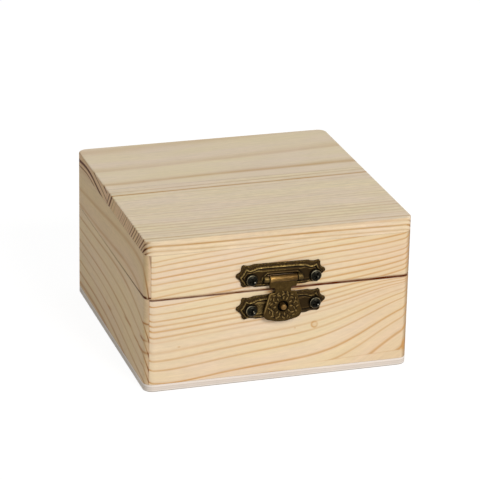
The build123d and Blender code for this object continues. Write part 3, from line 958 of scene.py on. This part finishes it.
# Each plate's height in millimetres and tilt in degrees
UPPER_PLACE = (LATCH_AXIS + UPPER_DROP, 1.0)
LOWER_PLACE = (CATCH_HEIGHT, -1.7)
knuckles = []
axis_place = face_frame(LATCH_AXIS, 0.0)
for start in (-KNUCKLE_START - KNUCKLE_WIDTH, KNUCKLE_START):
    corners, faces = lathe(rounded_tube(KNUCKLE_WIDTH, KNUCKLE_RADIUS, 0.57, 0.3), (start, 0, AXIS_OUT))
    facing = np.clip((corners[:, 2] - AXIS_OUT + 0.5 * corners[:, 1]) / 1.2, -1, 1)
    wear_and_shade = 0.3 * facing + (-0.05 if start < 0 else -0.1)
    knuckles.append((axis_place(corners), faces, wear_and_shade, plate_bronze))
plate_piece("upper", "lid", *UPPER_PLACE, -0.5, UPPER_SCREW_DROP, UPPER_DROP, knuckles)
plate_piece("lower", "base", *LOWER_PLACE, -0.2, LOWER_SCREW_DROP)

# Tongue: outline from the latch axis down, hole, scroll ornament and rolled barrel
TONGUE_OUT = 1.65
TONGUE_FRONT = 2.4
FLANGE_END = -3.45
NECK_HALF = 3.0
SHOULDER_HALF = 5.1
TONGUE_HALF = 7.2
HOLE_DROP = LATCH_AXIS - CATCH_HEIGHT
BODY_TOP = 5.4 - HOLE_DROP
BODY_WIDEST = -HOLE_DROP - 2.0
BODY_END = -HOLE_DROP - 6.0
HOLE_RADIUS = 2.15

right_side = [
    (BARREL_HALF, 0.3), (BARREL_HALF, FLANGE_END + 0.45), (BARREL_HALF - 0.13, FLANGE_END + 0.13),
    (BARREL_HALF - 0.45, FLANGE_END), (NECK_HALF + 0.5, FLANGE_END),
    (NECK_HALF + 0.15, FLANGE_END - 0.15), (NECK_HALF, FLANGE_END - 0.5), (NECK_HALF, BODY_TOP + 0.5),
    (NECK_HALF + 0.15, BODY_TOP + 0.15), (NECK_HALF + 0.5, BODY_TOP), (SHOULDER_HALF - 0.55, BODY_TOP),
    (SHOULDER_HALF - 0.15, BODY_TOP - 0.13), (SHOULDER_HALF + 0.15, BODY_TOP - 0.55),
    (TONGUE_HALF, BODY_WIDEST),
]
right_side += arc_points(right_side[-1], (6.7, BODY_END + 1.9), (4.45, BODY_END + 0.75), 10)
right_side += arc_points(right_side[-1], (2.3, BODY_END + 0.19), (0.0, BODY_END), 8)
tongue_outline = right_side + [(-u, w) for u, w in reversed(right_side[:-1])]
hole_outline = [
    (HOLE_RADIUS * math.cos(angle), HOLE_RADIUS * math.sin(angle) - HOLE_DROP)
    for angle in (math.tau * k / 48 for k in range(48))
]


def ornament():
    """Three rings of leaves round the hole, set a little unevenly as in a worn stamping.

    Each has its place from the hole's centre, half length, half width, turn and bend.
    """
    chance = random.Random(21)
    leaves = []
    for count, away, long_half, wide_half, turn, bend in (
        (11, 3.1, 0.7, 0.33, 0, 0.3), (14, 4.4, 0.86, 0.32, 52, 1.0), (19, 5.5, 0.7, 0.29, -50, 1.0),
    ):
        for k in range(count):
            angle = 360 * (k + chance.uniform(-0.18, 0.18)) / count + 90
            reach = away + chance.uniform(-0.15, 0.15)
            way = 1 if k % 2 else -1
            leaf = math.radians(angle)
            leaves.append((
                reach * math.cos(leaf), reach * math.sin(leaf),
                long_half * chance.uniform(0.85, 1.2), wide_half * chance.uniform(0.9, 1.15),
                angle + way * turn + chance.uniform(-14, 14), way * bend,
            ))
    return leaves


def tongue_shape(points):
    """Height and wear_and_shade of the tongue's front."""
    u, w = points[:, 0], points[:, 1] + HOLE_DROP
    from_edge = distance_to(points, tongue_outline)
    from_hole = np.hypot(u, w)
    rough = ripple(points, 11, 0.6)
    swell = np.zeros(len(points))
    grooves = np.zeros(len(points))
    for leaf_u, leaf_w, long_half, wide_half, turn, curl in ornament():
        lean = math.radians(turn)
        off_u, off_w = u - leaf_u, w - leaf_w
        along = (off_u * math.cos(lean) + off_w * math.sin(lean)) / long_half
        across = (off_w * math.cos(lean) - off_u * math.sin(lean)) / wide_half
        reach = np.hypot(along, across - curl * (along**2 - 0.4))
        swell = np.maximum(swell, np.sqrt(unit(1 - reach**2)))
        grooves = np.maximum(grooves, ridge(reach - 1.3, 0.28))
    grooves *= swell < 0.05
    ring = unit((from_hole - 2.3) / 0.25) * unit((6.2 - from_hole) / 0.5) * unit((from_edge - 0.7) / 0.3)
    border = ridge(from_edge - 0.32, 0.24) * unit((BODY_TOP + HOLE_DROP + 0.2 - w) / 0.6)
    height = TONGUE_FRONT - 0.04 + 0.015 * rough + ring * (0.1 * swell - 0.05 - 0.1 * grooves)
    height += 0.05 * border
    lip = TONGUE_FRONT - 0.32 + 0.34 * np.sqrt(unit(from_edge / 0.3))
    height = np.where(from_edge < 0.3, np.minimum(height, lip), height)
    left = unit(-u / 5.0)
    high = unit((w + 3.5) / 2.5)
    wear_and_shade = 0.02 + 0.05 * rough + ring * (0.46 * swell - 0.55 * grooves - 0.1 + 0.08 * left * swell)
    wear_and_shade += border * (0.05 + 0.42 * left) * high - 0.15 * ridge(from_hole - HOLE_RADIUS - 0.25, 0.2)
    wear_and_shade += (1 - high) * (0.03 - 0.14 * unit((1.2 - from_edge) / 0.4))
    return height, wear_and_shade


corners, faces, sheet_wear_and_shade = relief([tongue_outline, hole_outline], 0.13, tongue_shape, TONGUE_OUT)
barrel, barrel_faces = lathe(
    rounded_tube(2 * BARREL_HALF, BARREL_RADIUS, 0.61, 0.22, 0.02), (-BARREL_HALF, 0, AXIS_OUT), 56
)
along_barrel = barrel[:, 0] / (2 * BARREL_HALF) + 0.5
facing = unit((barrel[:, 2] - AXIS_OUT) / BARREL_RADIUS)
barrel_wear = (0.28 + 0.26 * unit(1 - 4.0 * along_barrel)) * facing
barrel_wear -= 0.4 * unit(along_barrel - 0.35)
tongue_parts = [
    (axis_place(corners), faces, sheet_wear_and_shade, tongue_bronze),
    (axis_place(barrel), barrel_faces, barrel_wear, barrel_bronze),
]
make_piece("latch_tongue_relief", tongue_parts, "tongue", "latch_tongue")


# ---- sawn edge in the seam


def seam_edge():
    """Wood in the seam, darkened with painted seam shade where the photograph shows a dark line."""
    shader = Shader("pine_seam_edge")
    x, y, z = shader.split(shader.millimetres())
    left = x.ramp(-49.0, -49.5)
    # Painted seam shade: strong near the front and on the left, weak on the rim's front face and towards
    # the back
    share = shader.mix(left, (0.8, 0.8, 0.8, 1), y.ramp(10.0, -44.0, 0.12, 1.0))
    share = shader.mix(y.ramp(-49.0, -49.5), share, (0.22, 0.22, 0.22, 1))
    wood = shader.mix(left, linear(214, 186, 150), SHADED_SIDE_WOOD)
    return shader.surface(
        Base_Color=shader.mix(share, wood, PAINTED_SEAM_SHADE), Roughness=0.6, Specular_IOR_Level=0.1
    )


def rounded_square(half, radius, steps=8):
    """Points of a square with rounded corners."""
    points = []
    for quarter in range(4):
        for step in range(steps + 1):
            angle = math.radians(90 * (quarter + step / steps))
            centre_x = (half - radius) * (1 if quarter in (0, 3) else -1)
            centre_y = (half - radius) * (1 if quarter < 2 else -1)
            points.append((centre_x + radius * math.cos(angle), centre_y + radius * math.sin(angle)))
    return points


# On the real box the sawn edges of lid and base touch, so a thin rim fills the seam from the base
RIM_FOOT = SEAM - 0.155
RIM_TOP = SEAM + 0.135
outer_line = rounded_square(HALF_SIDE - 0.12, 3.38)
inner_line = rounded_square(HALF_SIDE - 1.2, 2.3)
levels = ((outer_line, RIM_FOOT), (outer_line, RIM_TOP), (inner_line, RIM_TOP), (inner_line, RIM_FOOT))
corners = [(x * MM, y * MM, z * MM) for line, z in levels for x, y in line]
count = len(outer_line)
faces = []
for here in range(0, 3 * count, count):
    for k in range(count):
        after = (k + 1) % count
        faces.append((here + k, here + after, here + count + after, here + count + k))
rim = mesh_object("seam_edge", corners, faces, [seam_edge()])
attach(rim, "base")


# ---- finishes on the CAD nodes


def head_places(place, drop):
    """Places (x, z) of a latch plate's two screw heads."""
    heads = [(SCREW_SHIFT + side * SCREW_SPREAD, -drop, 0) for side in (-1, 1)]
    return [(x / MM, z / MM) for x, _, z in face_frame(*place)(heads)]


latch_screw_black = blackened(
    "steel_latch_screw",
    head_places(UPPER_PLACE, UPPER_SCREW_DROP) + head_places(LOWER_PLACE, LOWER_SCREW_DROP),
)
hinge_screw_black = blackened("steel_hinge_screw")
finishes = {**boards, "catch_pin": catch_brass}
for name in nodes:
    if "screws" in name:
        finishes[name] = latch_screw_black if "latch" in name else hinge_screw_black
    elif name.endswith("_pin") and name != "catch_pin":
        finishes[name] = pin_steel
    elif "leaf" in name:
        finishes[name] = hinge_bronze
for name, material in finishes.items():
    node = nodes[name]
    node.data.materials.clear()
    node.data.materials.append(material)


# ---- floor, light and camera


def studio_floor():
    """A white floor that shows white to the camera and keeps the object's soft shadow."""
    shader = Shader("studio_floor")
    mirrored_ray = shader.ray("Glossy").math("MAXIMUM", shader.ray("Transmission"))
    seen = shader.ray("Camera").math("MAXIMUM", mirrored_ray)
    white = shader.mix(seen, (0.95, 0.95, 0.95, 1), (0.19, 0.19, 0.19, 1))
    glow = shader.value("ShaderNodeEmission", {"Color": (1, 1, 1, 1), "Strength": seen * 0.9})
    diffuse = shader.value("ShaderNodeBsdfDiffuse", {"Color": white})
    return shader.finish(shader.value("ShaderNodeAddShader", {0: glow, 1: diffuse}))


reach = 6.0
corners = [(-reach, -reach, 0), (reach, -reach, 0), (reach, reach, 0), (-reach, reach, 0)]
floor = mesh_object("studio_floor", corners, [(0, 1, 2, 3)], [studio_floor()])
floor.location.z = -0.00002

sky = Shader("studio", bpy.data.worlds, "World")
seen = sky.ray("Camera").math("MAXIMUM", sky.ray("Glossy"))
sky_colour = sky.mix(seen, (1.0, 0.965, 0.9, 1), (1, 1, 1, 1))
background = sky.value("ShaderNodeBackground", {0: sky_colour, 1: seen.ramp(0.0, 1.0, 0.30, 1.0)})
bpy.context.scene.world = sky.finish(background)


def soft_light(name, place, size, power, colour):
    """A square area light aimed at the middle of the box."""
    data = bpy.data.lights.new(name, "AREA")
    data.shape = "SQUARE"
    data.size = size
    data.energy = power
    data.color = colour
    light = new_object(name, data)
    light.location = place
    aim = Vector((0.0, 0.0, 0.03)) - light.location
    light.rotation_euler = aim.to_track_quat("-Z", "Y").to_euler()


soft_light("key_light", (0.3, -1.1, 0.75), 0.5, 11.1, (1.0, 0.965, 0.92))
soft_light("top_light", (-0.1, 0.25, 1.3), 0.9, 3.45, (0.88, 0.955, 1.0))

camera_data = bpy.data.cameras.new("camera")
camera_data.sensor_width = 36.0
camera_data.lens = 195.364
half_pixel = 0.5 / 480
camera_data.shift_x = -half_pixel
camera_data.shift_y = half_pixel
camera_data.clip_start = 0.05
camera_data.clip_end = 20.0
camera = new_object("camera", camera_data)
azimuth, elevation, roll = (math.radians(angle) for angle in (-17.64068624, 21.63458887, 1.1799799))
target = Vector((0.59942942, 0.0, 34.5456583)) * MM
distance = 977.39677 * MM
level = math.cos(elevation)
back = Vector((math.sin(azimuth) * level, -math.cos(azimuth) * level, math.sin(elevation)))
right = Vector((0, 0, 1)).cross(back).normalized()
up = back.cross(right)
turned_right = right * math.cos(roll) + up * math.sin(roll)
turned_up = up * math.cos(roll) - right * math.sin(roll)
rotation = Matrix((turned_right, turned_up, back)).transposed()
camera.matrix_world = Matrix.Translation(target + back * distance) @ rotation.to_4x4()
bpy.context.scene.camera = camera
bpy.context.scene.view_settings.view_transform = "Standard"
